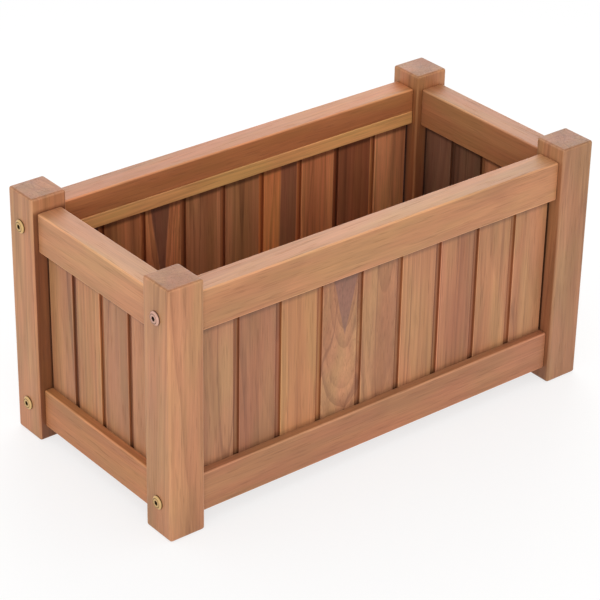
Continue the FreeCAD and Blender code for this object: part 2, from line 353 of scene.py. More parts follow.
class TeakGrain:
    """Sawn and oiled teak as a group of shader nodes, worked out in each board's own frame.

    A step is where a smooth rise begins and ends, and a shade is the slope and base of a factor.
    """

    NAME = "oiled_teak_grain"
    SOCKETS = (
        ("INPUT", "Color", ("Light", "Middle", "Dark", "Heart")), ("INPUT", "Float", ("Figure", "Wear")),
        ("OUTPUT", "Color", ("Colour",)), ("OUTPUT", "Float", ("Roughness", "Height")),
    )
    BENDS = ((Noise.WIDE, (0.012, 0.012, 0)), (Noise.SMALL, (0.0018, 0.0018, 0)))
    RING_WIDTH = 0.0052
    LATE_STEP, EARLY_STEP = (0.15, 0.93), (1.0, 0.94)
    YEAR_SPREAD = (0.9, 0.1)
    HEART_RADIUS = 0.0165
    HEART_STEP, HEART_DEPTH = (HEART_RADIUS * 1.05, HEART_RADIUS * 0.95), 0.78
    RIND_STEP, RIND_DEPTH = (0.0013, 0.0004), 0.5
    BROAD_STEP = (0.3, 0.7)
    STREAK_STEP, STREAK_INSIDE = (0.54, 0.76), (0.4, 0.8)
    VEIN_MIDDLE, VEIN_STEP, VEIN_DEPTH = 0.47, (0.012, 0.002), 0.9
    PORE_STEP = (0.58, 0.72)
    STAIN_STEP = (0.47, 0.7)
    CAST_STEP, CASTS = (0.3, 0.7), ((1.035, 0.965, 1.0), (0.965, 1.03, 0.97))
    MOTTLE_SHADE, PATCH_SHADE = (0.22, 0.89), (0.46, 0.77)
    FIBRE_SHADE, THREAD_SHADE, PORE_SHADE = (0.26, 0.87), (0.36, 0.82), (-0.15, 1.0)
    # The seam shade deepens painted shade into black seams in the posts' corners.
    SEAM_SHADE, STAIN_SHADE = (-0.7, 1.0), (-0.76, 1.0)
    INNER_SHADE, INNER_HEART_SHADE = (0.34, 1.0), (-0.4, 1.0)
    # Painted shade in gaps and corners, with its black seams, ends at the height of the rails' tops.
    OPEN_AIR = (0.246, 0.24)
    # Painted shadow on inner faces under the beads and top rails, on outer faces under the top rail, and on outer
    # faces low down, where the slats meet the bottom rail: where each begins and ends, and its depth.
    UNDER_BEAD, UNDER_RAIL, ON_RAIL = (0.1935, 0.1975, 0.6), (0.1905, 0.1965, 0.4), (0.061, 0.0555, 0.3)
    # Steps of the painted shade in gaps and corners: to a darker colour, and to black seams.
    DIRT_STEP, SEAM_STEP = (0.22, 0.6), (1.0, 3.0)
    # Colour of the painted shade, and colour of end grain.
    GRIME_COLOUR, END_COLOUR = (0.68, 0.52, 0.41), (0.78, 0.7, 0.62)
    # Arrises are lightened for wear and as a painted highlight.
    WORN_COLOUR, WORN_PATCHES = (2.0, 2.2, 2.5), (0.6, 0.2)
    # Outer faces keep a board's tint within the darkest and palest; inner faces take it whole, so dark tints paint
    # the shade inside the box.
    DARKEST, PALEST, NO_LIMIT = (0.76, 0.7, 0.72), (1.16, 1.16, 1.2), (9, 9, 9)
    MOTTLE_ROUGH, PORE_ROUGH, ARRIS_ROUGH = (0.16, 0.42), 0.12, 0.06
    FIBRE_HEIGHT, LATE_HEIGHT = 0.5, 0.3

    @classmethod
    def group(cls) -> bpy.types.NodeTree:
        """Find the group, or build it the first time.

        Returns:
            The node group with its colours as inputs, and colour, roughness and height as outputs.
        """
        found = bpy.data.node_groups.get(cls.NAME)
        if found is not None:
            return found
        tree = bpy.data.node_groups.new(cls.NAME, "ShaderNodeTree")
        for way, kind, names in cls.SOCKETS:
            for name in names:
                tree.interface.new_socket(name=name, in_out=way, socket_type=f"NodeSocket{kind}")
        cls(NodeBench(tree)).fill()
        return tree

    def __init__(self, bench: NodeBench) -> None:
        """Read the place, and work out the rings, the heart and the noises that more than one step needs.

        Args:
            bench: Bench of the group's tree.
        """
        self.bench = bench
        facing = bench.mark("facing_in")
        self.inner = facing.then("MAXIMUM", 0.0)
        self.outer = (facing * -1.0).then("MAXIMUM", 0.0)
        self.grain = self.bent = bench.mark("grain", "Vector")
        self.rise = bench.spot().parts()[2]
        self.arris, self.dirt = bench.mark("arris"), bench.mark("grime")
        self.figure = bench.mark("figure") * bench.given["Figure"]
        for noise, bend in self.BENDS:
            self.bent = self.bent + (bench.noise(self.grain, noise, "Color") - (0.5, 0.5, 0.5)) * bend
        rings = (self.bent * (1, 1, 0)).measure("LENGTH") / self.RING_WIDTH
        phase = rings.then("FRACT")
        year = bench.wire("ShaderNodeTexWhiteNoise", {"W": rings.then("FLOOR")}, "Value", noise_dimensions="1D")
        late = phase.step(*self.LATE_STEP) * phase.step(*self.EARLY_STEP)
        self.late = late * year.then("POWER", 2.0).line(*self.YEAR_SPREAD)
        across, through, _ = abs(self.bent).parts()
        self.heart_place = across + through
        self.heart = self.heart_place.step(*self.HEART_STEP)
        self.mottle, self.fibre = (bench.noise(self.grain, noise) for noise in (Noise.MOTTLE, Noise.FIBRE))
        self.pore = bench.noise(self.grain, Noise.PORE).step(*self.PORE_STEP)

    def fill(self) -> None:
        """Turn the wood's figure into its colour, roughness and height."""
        inputs = {0: self.weathered(self.grown()), "Scale": self.shaded()}
        colour = self.bench.wire("ShaderNodeVectorMath", inputs, operation="SCALE")
        rough = self.mottle.line(*self.MOTTLE_ROUGH) + self.pore * self.PORE_ROUGH - self.arris * self.ARRIS_ROUGH
        height = self.fibre * self.FIBRE_HEIGHT - self.pore - self.late * self.LATE_HEIGHT
        self.bench.add("NodeGroupOutput", {"Colour": colour, "Roughness": rough, "Height": height})

    def grown(self) -> Wire:
        """Colour the wood as it grew.

        Returns:
            The colour before use and weather.
        """
        given = self.bench.given
        broad = self.bench.noise(self.bent, Noise.BROAD).step(*self.BROAD_STEP)
        streak = self.bench.noise(self.bent, Noise.STREAK).step(*self.STREAK_STEP)
        vein = abs(self.bench.noise(self.bent, Noise.VEIN) - self.VEIN_MIDDLE).step(*self.VEIN_STEP)
        rind = abs(self.heart_place - self.HEART_RADIUS).step(*self.RIND_STEP)
        colour = self.bench.blend(broad, given["Middle"], given["Light"])
        for amount, deeper in (
            (self.late * self.figure, "Dark"),
            (streak * (self.figure * self.inner.line(*self.STREAK_INSIDE)), "Dark"),
            (vein * (self.figure * self.VEIN_DEPTH), "Dark"),
            (self.heart * self.HEART_DEPTH, "Heart"),
            (rind * self.RIND_DEPTH, "Heart"),
        ):
            colour = self.bench.blend(amount, colour, given[deeper])
        return colour

    def weathered(self, colour: Wire) -> Wire:
        """Change the wood's colour by end grain, painted shade in gaps and corners, arrises lightened by wear and
        painted highlight, patchy cast and the board's tint.

        Args:
            colour: The wood's colour as it grew.

        Returns:
            The colour before shading.
        """
        bench = self.bench
        # Painted shade in the gaps between boards, on the tongues and on the posts' inward faces.
        grime = self.dirt.step(*self.DIRT_STEP) * self.rise.step(*self.OPEN_AIR)
        # Arrises lightened for wear and as a painted highlight.
        worn_and_lit = self.arris * self.mottle.line(*self.WORN_PATCHES) * bench.given["Wear"]
        cast = bench.noise(self.grain, Noise.CAST).step(*self.CAST_STEP)
        for amount, first, second in (
            (bench.mark("end_grain"), WHITE, self.END_COLOUR), (grime, WHITE, self.GRIME_COLOUR),
            (worn_and_lit, WHITE, self.WORN_COLOUR), (cast, *self.CASTS),
        ):
            colour = colour * bench.blend(amount, first, second)
        # Inner faces take the whole tint, so dark tints paint the shade inside the box; outer faces keep it within
        # limits.
        tint = bench.mark("tint", "Vector")
        tint = tint.then("MAXIMUM", bench.blend(self.outer, (0, 0, 0), self.DARKEST))
        return colour * tint.then("MINIMUM", bench.blend(self.outer, self.NO_LIMIT, self.PALEST))

    def shaded(self) -> Wire:
        """Work out how light or dark the wood is, with painted shade at the seams and painted shadow under the beads
        and rails and at the slats' feet.

        Returns:
            The factor of the colour.
        """
        bench = self.bench
        # Deeper painted shade: black seams where the walls meet the posts, and the back left post's front face.
        seam = self.dirt.step(*self.SEAM_STEP) * self.rise.step(*self.OPEN_AIR)
        stain = bench.noise(self.bent, Noise.STAIN).step(*self.STAIN_STEP) * self.inner * self.figure
        shade = self.mottle.line(*self.MOTTLE_SHADE)
        for amount, line in (
            (bench.noise(self.grain, Noise.PATCH), self.PATCH_SHADE), (self.fibre, self.FIBRE_SHADE),
            (self.pore, self.PORE_SHADE), (seam, self.SEAM_SHADE), (stain, self.STAIN_SHADE),
            (self.inner, self.INNER_SHADE), (self.heart * self.inner, self.INNER_HEART_SHADE),
            (bench.noise(self.bent, Noise.THREAD), self.THREAD_SHADE),
        ):
            shade = shade * amount.line(*line)
        # Painted shadow under the beads and rails and at the slats' feet.
        for face, (low, high, depth) in (
            (self.inner, self.UNDER_BEAD), (self.outer, self.UNDER_RAIL), (self.outer, self.ON_RAIL),
        ):
            shade = shade * (face * self.rise.step(low, high)).line(-depth, 1.0)
        return shade


@dataclass(frozen=True)
class Finish(ABC):
    """A surface, known by its slot."""

    slot: str

    @abstractmethod
    def surface(self, bench: NodeBench) -> dict[str, object]:
        """Inputs of the surface's shader by name."""

    def material(self) -> bpy.types.Material:
        """Find the finish's material, or make it the first time.

        Returns:
            The material, named after its slot.
        """
        name = f"{self.slot}_finish"
        found = bpy.data.materials.get(name)
        if found is not None:
            return found
        made = bpy.data.materials.new(name)
        made.use_nodes = True
        bench = NodeBench(made.node_tree)
        shader = made.node_tree.nodes["Principled BSDF"]
        for label, value in self.surface(bench).items():
            bench.feed(shader.inputs[label], value)
        return made


@dataclass(frozen=True)
class TeakFinish(Finish):
    """One oiled teak finish: its four wood colours, how strongly the rings show and how much its arrises are
    lightened, for wear and as a painted highlight.
    """

    light: Triple
    middle: Triple
    dark: Triple
    heart: Triple
    figure: float = 0.4
    # How much the arrises are lightened, for wear and as a painted highlight.
    wear: float = 0.26
    relief: float = 0.3
    relief_depth: float = 0.35 * MM
    gloss: float = 0.5

    def surface(self, bench: NodeBench) -> dict[str, object]:
        """Wood of this finish.

        Args:
            bench: Bench of the material's tree.

        Returns:
            Inputs of the surface's shader by name.
        """
        wood = bench.add("ShaderNodeGroup", {
            "Light": self.light, "Middle": self.middle, "Dark": self.dark, "Heart": self.heart,
            "Figure": self.figure, "Wear": self.wear,
        }, node_tree=TeakGrain.group())
        colour, rough, height = (Wire(bench, output) for output in wood.outputs)
        return {
            "Base Color": colour, "Roughness": rough, "Specular IOR Level": self.gloss,
            "Normal": bench.bump(self.relief, self.relief_depth, height),
        }


@dataclass(frozen=True)
class ZincFinish(Finish):
    """Zinc plate with a yellow passivation that comes and goes, and painted shade in its recesses."""

    yellow: Triple = (0.68, 0.44, 0.19)
    pale: Triple = (0.68, 0.4, 0.31)
    # Near-black colour and depth of the painted shade in recesses.
    grime: Triple = (0.03, 0.022, 0.015)
    grime_depth: float = 0.93
    pale_way: Triple = (0, -1, 1)
    pale_step: Pair = (0.3, 0.46)
    haze_share: float = 0.3
    scuff_rough: Pair = (0.2, 0.24)
    recess_rough: float = 0.35
    turning: float = 21000.0
    relief: float = 0.12
    relief_depth: float = 0.05 * MM

    def surface(self, bench: NodeBench) -> dict[str, object]:
        """Plate of this finish.

        Args:
            bench: Bench of the material's tree.

        Returns:
            Inputs of the surface's shader by name.
        """
        place = bench.spot()
        recess = bench.mark("recess")
        lean = place.measure("DOT_PRODUCT", self.pale_way)
        cloud = bench.noise(place, Noise.HAZE).line(self.haze_share, lean).step(*self.pale_step)
        colour = bench.blend(cloud, self.yellow, self.pale)
        rough = bench.noise(place, Noise.SCUFF).line(*self.scuff_rough) + recess * self.recess_rough
        turned = (bench.mark("turned") * self.turning).then("SINE")
        # Recesses are darkened towards black as painted shade.
        return {
            "Base Color": bench.blend(recess * self.grime_depth, colour, self.grime), "Roughness": rough,
            "Metallic": 1.0, "Normal": bench.bump(self.relief, self.relief_depth, turned),
        }


POST_TEAK = TeakFinish(
    "post_teak", (0.53, 0.245, 0.112), (0.41, 0.175, 0.073), (0.26, 0.1, 0.04), (0.2, 0.09, 0.06), 0.4, 0.22,
)
RAIL_TEAK = TeakFinish(
    "rail_teak", (0.535, 0.25, 0.116), (0.445, 0.197, 0.085), (0.28, 0.11, 0.046), (0.2, 0.09, 0.06), 0.22, 0.85,
)
SLAT_TEAK = TeakFinish(
    "slat_teak", (0.53, 0.245, 0.112), (0.39, 0.165, 0.07), (0.22, 0.086, 0.038), (0.24, 0.11, 0.075), 0.55, 0.45,
)
BEAD_TEAK = TeakFinish(
    "bead_teak", (0.88, 0.47, 0.18), (0.75, 0.385, 0.14), (0.46, 0.2, 0.066), (0.2, 0.1, 0.05), 0.35,
)
FLOOR_TEAK = TeakFinish(
    "floor_teak", (0.44, 0.2, 0.09), (0.34, 0.145, 0.06), (0.19, 0.075, 0.033), (0.16, 0.07, 0.045), 0.55,
)
BOLT_ZINC = ZincFinish("bolt_zinc")
INSERT_ZINC = ZincFinish("insert_zinc")
SCREW_ZINC = ZincFinish("screw_zinc")


@dataclass(frozen=True)
class BoxSizes:
    """Sizes that the sub-assemblies share."""

    length: float = 500 * MM
    width: float = 250 * MM
    height: float = 257 * MM
    post_side: float = 38 * MM
    post_rise: float = 15 * MM
    foot_height: float = 15 * MM
    rail_height: float = 40 * MM
    rail_thickness: float = 26 * MM
    rail_setback: float = 6 * MM
    slat_setback: float = 9 * MM
    slat_thickness: float = 10 * MM
    groove_depth: float = 10 * MM
    rebate_height: float = 15.5 * MM
    floor_board_count: int = 9

    def span(self, side: Side) -> float:
        """Clear width between the posts of a wall."""
        return (self.length if side.is_long else self.width) - 2 * self.post_side

    def reach(self, side: Side) -> float:
        """Distance from the box's middle to a wall's outer rail face."""
        return (self.width if side.is_long else self.length) / 2 - self.rail_setback

    def rail_base(self, level: Level) -> float:
        """Height of a rail's underside."""
        return self.foot_height if level is Level.BOTTOM else self.height - self.post_rise - self.rail_height

    def stand(self, side: Side) -> Matrix:
        """Matrix that takes a wall's own frame, with its outer rail face at y = 0, to its side of the box."""
        return Matrix.Rotation(side.turn, 4, "Z") @ Matrix.Translation((0, -self.reach(side), 0))

    def floor_boards(self) -> tuple[str, ...]:
        """Names of the floor boards' nodes."""
        return tuple(f"floor_board_{number}" for number in range(1, self.floor_board_count + 1))


@dataclass(frozen=True)
class Corner:
    """One corner of a board's section, and whether its arris and the side that follows it are eased."""

    across: float
    through: float
    eased: bool = True
    side_eased: bool = True


@dataclass(frozen=True)
class Shelter:
    """A side of a board that stands in a corner of the box, darkened by painted shade, with a black seam of painted
    shade where a wall's edge meets it.
    """

    facing: Vector
    dirt: float
    seam_way: Vector
    seam: Pair
    seam_reach: float
    seam_dirt: float = 3.0
    facing_least: float = 0.9

    def split(self, board: bmesh.types.BMesh) -> None:
        """Cut the board's faces along the sides and ends of the seam.

        Args:
            board: The board in its own frame.
        """
        cuts = [(self.seam_way, distance) for distance in self.seam]
        for way, distance in (*cuts, (UP, self.seam_reach), (UP, -self.seam_reach)):
            parts = [*board.verts, *board.edges, *board.faces]
            bmesh.ops.bisect_plane(board, geom=parts, plane_co=way * distance, plane_no=way)

    def dirt_on(self, face: bmesh.types.BMFace) -> float:
        """Work out the painted shade of a face of the board.

        Args:
            face: The face, in the board's own frame.

        Returns:
            Its painted shade, which is nought on the other sides.
        """
        if face.normal.dot(self.facing) < self.facing_least:
            return 0.0
        middle = face.calc_center_median()
        on_seam = self.seam[0] < middle.dot(self.seam_way) < self.seam[1] and abs(middle.z) < self.seam_reach
        return self.seam_dirt if on_seam else self.dirt


@dataclass
class PlanedBoard:
    """A board swept along its grain, with its eased arrises rounded.

    In the board's own frame X goes across its face, Y through its thickness and Z along its grain.
    """

    section: Sequence[Corner]
    length: float
    easing: float
    look: BoardLook
    sheltered: Sequence[Shelter] = ()
    segments: int = 4
    flat_least: float = 0.999
    end_least: float = 0.6

    @staticmethod
    def oblong(across: float, through: float) -> list[Corner]:
        """Section of a plain board about its own middle."""
        half_a, half_t = across / 2, through / 2
        return [Corner(-half_a, -half_t), Corner(half_a, -half_t), Corner(half_a, half_t), Corner(-half_a, half_t)]

    def mesh(self, name: str, place: Matrix) -> bpy.types.Mesh:
        """Make the board's mesh where it belongs.

        Args:
            name: Name of the mesh.
            place: Matrix from the board's own frame to the box.

        Returns:
            A mesh with the attributes that the teak finishes read.
        """
        board = bmesh.new()
        near = [board.verts.new((c.across, c.through, -self.length / 2)) for c in self.section]
        far = [board.verts.new((c.across, c.through, self.length / 2)) for c in self.section]
        board.faces.new(near[::-1])
        board.faces.new(far)
        arrises = []
        for index, corner in enumerate(self.section):
            after = (index + 1) % len(self.section)
            board.faces.new((near[index], near[after], far[after], far[index]))
            if corner.eased:
                arrises.append(board.edges.get((near[index], far[index])))
            if corner.side_eased:
                arrises += [board.edges.get((ring[index], ring[after])) for ring in (near, far)]
        bmesh.ops.bevel(
            board, geom=arrises, offset=self.easing, offset_type="OFFSET", segments=self.segments,
            profile=0.5, affect="EDGES", clamp_overlap=True,
        )
        for shelter in self.sheltered:
            shelter.split(board)
        self.mark(board)
        board.transform(place)
        made = bpy.data.meshes.new(name)
        board.to_mesh(made)
        board.free()
        return made

    def mark(self, board: bmesh.types.BMesh) -> None:
        """Write the attributes that the teak finishes read.

        Args:
            board: The board in its own frame.
        """
        grain, tint = (board.verts.layers.float_vector.new(name) for name in ("grain", "tint"))
        figure, arris = (board.verts.layers.float.new(name) for name in ("figure", "arris"))
        end_grain, grime = (board.faces.layers.float.new(name) for name in ("end_grain", "grime"))
        pith = Vector(self.look.pith)
        board.normal_update()
        for vert in board.verts:
            vert[grain] = vert.co - pith + Vector((0, self.look.lean * vert.co.z, 0))
            vert[tint] = Vector(self.look.tone.value)
            vert[figure] = self.look.figure
            vert[arris] = float(all(max(map(abs, face.normal)) < self.flat_least for face in vert.link_faces))
        for face in board.faces:
            face.smooth = True
            face[end_grain] = float(abs(face.normal.z) > self.end_least)
            # Painted shade on the faces that stand in the box's corners.
            face[grime] = max((shelter.dirt_on(face) for shelter in self.sheltered), default=0.0)


def settle(piece: bpy.types.Object) -> None:
    """Turn a piece's modifiers into its plain mesh and remove them.

    Args:
        piece: Object with its modifiers set up.
    """
    graph = bpy.context.evaluated_depsgraph_get()
    plain = bpy.data.meshes.new_from_object(
        piece.evaluated_get(graph), preserve_all_data_layers=True, depsgraph=graph,
    )
    plain.name = piece.name
    piece.modifiers.clear()
    piece.data = plain


def joined_to_scene(name: str, held: bpy.types.ID) -> bpy.types.Object:
    """Make a new object at the origin.

    Args:
        name: Name of the object.
        held: Mesh, lamp or camera that it holds.

    Returns:
        The object, in the scene.
    """
    made = bpy.data.objects.new(name, held)
    bpy.context.scene.collection.objects.link(made)
    return made


def even_shading(piece: bpy.types.Object, sharp_from: float = SHARP_FROM) -> None:
    """Keep flats flat beside rounded arrises.

    Args:
        piece: Object whose mesh is shaded.
        sharp_from: Angle in degrees from which an edge stays sharp.
    """
    piece.data.shade_smooth()
    piece.data.set_sharp_from_angle(angle=math.radians(sharp_from))
    weighted = piece.modifiers.new("even shading", "WEIGHTED_NORMAL")
    weighted.keep_sharp = True
    weighted.weight = FACE_WEIGHT
    settle(piece)


@dataclass(frozen=True)
class Piece:
    """A finished object, the CAD nodes that it stands for and the slot of its finish."""

    body: bpy.types.Object
    nodes: tuple[str, ...]
    slot: str

    def hand_over(self) -> None:
        """Give the piece to the frame."""
        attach(self.body, BODY)
        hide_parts(*self.nodes)
        log.info("%s: %d faces for %d nodes", self.body.name, len(self.body.data.polygons), len(self.nodes))


class ShapeTree(ABC):
    """Geometry Nodes tree that sets shapes on the points of a mesh and dresses them."""

    NAME: str
    INPUTS: dict[str, str]
    POINTS = "Points"

    def __init__(self) -> None:
        """Find the tree, or build it the first time."""
        self.tree = bpy.data.node_groups.get(self.NAME) or self.build()

    @abstractmethod
    def set_out(self, bench: NodeBench) -> Wire:
        """Shapes as instances on the points."""

    def placed(self, bench: NodeBench, real: Wire) -> Wire:
        """Realized shapes where they belong, which is where they are unless a tree says otherwise."""
        return real

    def build(self) -> bpy.types.NodeTree:
        """Build the tree.

        Returns:
            The new node tree.
        """
        tree = bpy.data.node_groups.new(self.NAME, "GeometryNodeTree")
        for name, kind in {self.POINTS: "Geometry", **self.INPUTS, "Finish": "Material"}.items():
            tree.interface.new_socket(name=name, in_out="INPUT", socket_type=f"NodeSocket{kind}")
        tree.interface.new_socket(name="Shapes", in_out="OUTPUT", socket_type="NodeSocketGeometry")
        bench = NodeBench(tree)
        real = bench.wire("GeometryNodeRealizeInstances", {0: self.set_out(bench)})
        inputs = {"Geometry": self.placed(bench, real), "Material": bench.given["Finish"]}
        bench.add("NodeGroupOutput", {0: bench.wire("GeometryNodeSetMaterial", inputs)})
        return tree

    def grow_on(
        self, name: str, places: Sequence[Sequence[float]], marks: dict[str, Sequence[object]],
        inputs: dict[str, object], sharp_from: float = SHARP_FROM,
    ) -> bpy.types.Object:
        """Make the shapes as a plain mesh.

        Args:
            name: Name of the object.
            places: The points.
            marks: Values of each attribute of the points, as numbers or vectors.
            inputs: Values of the tree's inputs by name.
            sharp_from: Angle in degrees from which an edge stays sharp.

        Returns:
            The object at the origin.
        """
        points = bpy.data.meshes.new(name)
        points.from_pydata(places, [], [])
        for label, values in marks.items():
            is_number = isinstance(values[0], float)
            layer = points.attributes.new(label, "FLOAT" if is_number else "FLOAT_VECTOR", "POINT")
            for item, value in zip(layer.data, values):
                setattr(item, "value" if is_number else "vector", value)
        made = joined_to_scene(name, points)
        grown = made.modifiers.new(self.NAME, "NODES")
        grown.node_group = self.tree
        identifiers = {item.name: item.identifier for item in self.tree.interface.items_tree}
        for label, value in inputs.items():
            grown[identifiers[label]] = value
        settle(made)
        even_shading(made, sharp_from)
        return made


class BoardRowTree(ShapeTree):
    """Tree that stands one board on each point of a row, with a tongue between neighbours.

    The points bring each board's pith, lean, tint and figure.
    """

    NAME = "board_row"
    INPUTS = {
        **dict.fromkeys((
            "Board pitch", "Board width", "Board thickness", "Board foot", "Board head", "Board easing",
            "Tongue width", "Tongue thickness",
        ), "Float"),
        "Row turn": "Vector", "Row place": "Vector",
    }
    SIDE_CUTS = 3
    ARRIS_COUNT = 3
    ARRIS_SHARE = 0.95
    EDGE_SKIN = 0.02 * MM
    # Painted shade on a tongue: deepest at its root and tip, and never less than the least.
    ROOT_GRIME = -3.0
    TIP_GRIME = (2.0, -1.0)
    LEAST_GRIME = 0.4

    def set_out(self, bench: NodeBench) -> Wire:
        """Set out the boards and tongues.

        Args:
            bench: Bench of the tree.

        Returns:
            Boards and tongues as instances.
        """
        given = bench.given
        index = bench.wire("GeometryNodeInputIndex")
        count = bench.wire("GeometryNodeAttributeDomainSize", {0: given[self.POINTS]}, "Point Count")
        last = count - 1.0
        spot = bench.combined(X=(index - last * 0.5) * given["Board pitch"])
        row = bench.wire("GeometryNodeSetPosition", {"Geometry": given[self.POINTS], "Position": spot})
        has_next = bench.wire("FunctionNodeCompare", {0: index, 1: last}, data_type="FLOAT", operation="LESS_THAN")
        both = bench.add("GeometryNodeJoinGeometry")
        for inputs in (
            {"Instance": self.board(bench)}, {"Instance": self.tongue(bench), "Selection": has_next},
        ):
            set_out = bench.wire("GeometryNodeInstanceOnPoints", {"Points": row, **inputs})
            bench.feed(both.inputs[0], set_out)
        return Wire(bench, both.outputs[0])

    def board(self, bench: NodeBench) -> Wire:
        """Sweep one board and mark its rounded arrises, its side faces for painted shade in the gaps, and its inner
        face.

        Args:
            bench: Bench of the tree.

        Returns:
            The board with its attributes.
        """
        width, thickness, easing = (bench.given[f"Board {size}"] for size in ("width", "thickness", "easing"))
        across, through, _ = bench.wire("GeometryNodeInputPosition").parts()
        rounded = easing * self.ARRIS_SHARE
        in_width, in_thickness = (
            abs(part).then("GREATER_THAN", size * 0.5 - rounded)
            for part, size in ((across, width), (through, thickness))
        )
        return bench.stored(self.swept(bench, width, thickness, easing, 0.0), {
            "arris": in_width * in_thickness,
            # Side faces take painted shade in the gaps between boards.
            "grime": abs(across).then("GREATER_THAN", width.line(0.5, -self.EDGE_SKIN)),
            "facing_in": through.then("SIGN"),
        })

    def tongue(self, bench: NodeBench) -> Wire:
        """Sweep one tongue and mark it for painted shade, deepest at its root and tip beside the boards.

        Args:
            bench: Bench of the tree.

        Returns:
            The tongue with its attributes.
        """
        width, thickness = (bench.given[f"Tongue {size}"] for size in ("width", "thickness"))
        beside = bench.given["Board pitch"] * 0.5
        across, through, _ = bench.wire("GeometryNodeInputPosition").parts()
        share = (across - beside) * 2.0 / width
        grime = (share * self.ROOT_GRIME).then("MAXIMUM", share.line(*self.TIP_GRIME))
        return bench.stored(self.swept(bench, width, thickness, 0.0, beside), {
            "grime": grime.then("MAXIMUM", self.LEAST_GRIME), "facing_in": through.then("SIGN"),
        })

    def swept(
        self, bench: NodeBench, across: Wire, through: Wire, easing: Wire | float, beside: Wire | float,
    ) -> Wire:
        """Sweep an oblong section along the board and remember its own frame.

        Args:
            bench: Bench of the tree.
            across: Width of the section.
            through: Thickness of the section.
            easing: Radius of its corners.
            beside: How far the section stands to the right of the board's middle.

        Returns:
            The swept mesh, with its places stored as grain.
        """
        oblong = bench.wire("GeometryNodeCurvePrimitiveQuadrilateral", {"Width": across, "Height": through})
        finer = bench.wire("GeometryNodeSubdivideCurve", {"Curve": oblong, "Cuts": self.SIDE_CUTS})
        eased = bench.wire("GeometryNodeFilletCurve", {
            "Curve": finer, "Count": self.ARRIS_COUNT, "Radius": easing, "Limit Radius": True,
        }, mode="POLY")
        moved = bench.wire("GeometryNodeTransform", {"Geometry": eased, "Translation": bench.combined(X=beside)})
        foot, head = (bench.combined(Z=bench.given[end]) for end in ("Board foot", "Board head"))
        path = bench.wire("GeometryNodeCurvePrimitiveLine", {"Start": foot, "End": head})
        sweep = bench.wire("GeometryNodeCurveToMesh", {"Curve": path, "Profile Curve": moved, "Fill Caps": True})
        return bench.stored(sweep, {"grain": bench.wire("GeometryNodeInputPosition")})

    def placed(self, bench: NodeBench, real: Wire) -> Wire:
        """Move each board's grain to its own place in the log, and the row to its place in the box.

        Args:
            bench: Bench of the tree.
            real: The realized boards.

        Returns:
            The boards where they belong.
        """
        grain = bench.named("grain", "FLOAT_VECTOR")
        rise = bench.combined(Y=grain.parts()[2] * bench.named("lean", "FLOAT"))
        in_log = bench.stored(real, {"grain": grain - bench.named("pith", "FLOAT_VECTOR") + rise})
        return bench.wire("GeometryNodeTransform", {
            "Geometry": in_log, "Translation": bench.given["Row place"], "Rotation": bench.given["Row turn"],
        })

    def grow(self, name: str, looks: Sequence[BoardLook], inputs: dict[str, object]) -> bpy.types.Object:
        """Make one row of boards as a plain mesh.

        Args:
            name: Name of the row's object.
            looks: Look of each board, in the row's order.
            inputs: Values of the tree's inputs by name.

        Returns:
            The row's object at the origin.
        """
        marks = {
            "pith": [look.pith for look in looks], "tint": [look.tone.value for look in looks],
            "lean": [look.lean for look in looks], "figure": [look.figure for look in looks],
        }
        return self.grow_on(name, [(0, 0, 0)] * len(looks), marks, inputs)


class RingShape(Enum):
    """Outline of one ring of a turned fastener."""

    ROUND = "round"
    HEXAGON = "hexagon"
    CROSS = "cross"


@dataclass(frozen=True)
class Ring:
    """One ring of a turned fastener: its radius or half width, its height and its outline."""

    radius: float
    height: float
    shape: RingShape = RingShape.ROUND
    recess: float = 0.0
    arm: float = 0.0
    slack: float = 1.0001

    def reach(self, angle: float) -> float:
        """Work out how far the outline is from the axis.

        Args:
            angle: Angle about the axis.

        Returns:
            The distance at that angle.
        """
        if self.shape is RingShape.HEXAGON:
            sixth = math.pi / 3
            return self.radius / math.cos(angle % sixth - sixth / 2)
        if self.shape is RingShape.CROSS:
            fold = abs((angle + QUARTER / 2) % QUARTER - QUARTER / 2)
            on_end = math.tan(fold) * self.radius <= self.arm * self.slack
            return self.radius / math.cos(fold) if on_end else self.arm / math.sin(fold)
        return self.radius


@dataclass
class TurnedFastener:
    """A bolt or screw turned about its axis, with its head's face upwards and its stem downwards."""

    rings: Sequence[Ring]
    angles: Sequence[float]

    def mesh(self, name: str) -> bpy.types.Mesh:
        """Make the fastener's closed mesh.

        Args:
            name: Name of the mesh.

        Returns:
            A mesh with recess and turned attributes.
        """
        work = bmesh.new()
        recess, turned = (work.verts.layers.float.new(label) for label in ("recess", "turned"))
        loops: list[list[bmesh.types.BMVert]] = []
        for ring in self.rings:
            loop = []
            for angle in self.angles if ring.radius > 0 else (0.0,):
                far = ring.reach(angle)
                vert = work.verts.new((far * math.cos(angle), far * math.sin(angle), ring.height))
                vert[recess] = ring.recess
                vert[turned] = far
                loop.append(vert)
            loops.append(loop)
        for inner, outer in zip(loops, loops[1:]):
            self.bridge(work, inner, outer)
        bmesh.ops.recalc_face_normals(work, faces=work.faces)
        made = bpy.data.meshes.new(name)
        work.to_mesh(made)
        work.free()
        return made

    @staticmethod
    def bridge(work: bmesh.types.BMesh, inner: list[bmesh.types.BMVert], outer: list[bmesh.types.BMVert]) -> None:
        """Join two rings, either of which may be a single point on the axis.

        Args:
            work: Mesh of the fastener.
            inner: Points of the first ring.
            outer: Points of the ring after it.
        """
        sides = max(len(inner), len(outer))
        for index in range(sides):
            after = (index + 1) % sides
            if len(inner) == 1:
                work.faces.new((inner[0], outer[index], outer[after]))
            elif len(outer) == 1:
                work.faces.new((inner[index], outer[0], inner[after]))
            else:
                work.faces.new((inner[index], outer[index], outer[after], inner[after]))


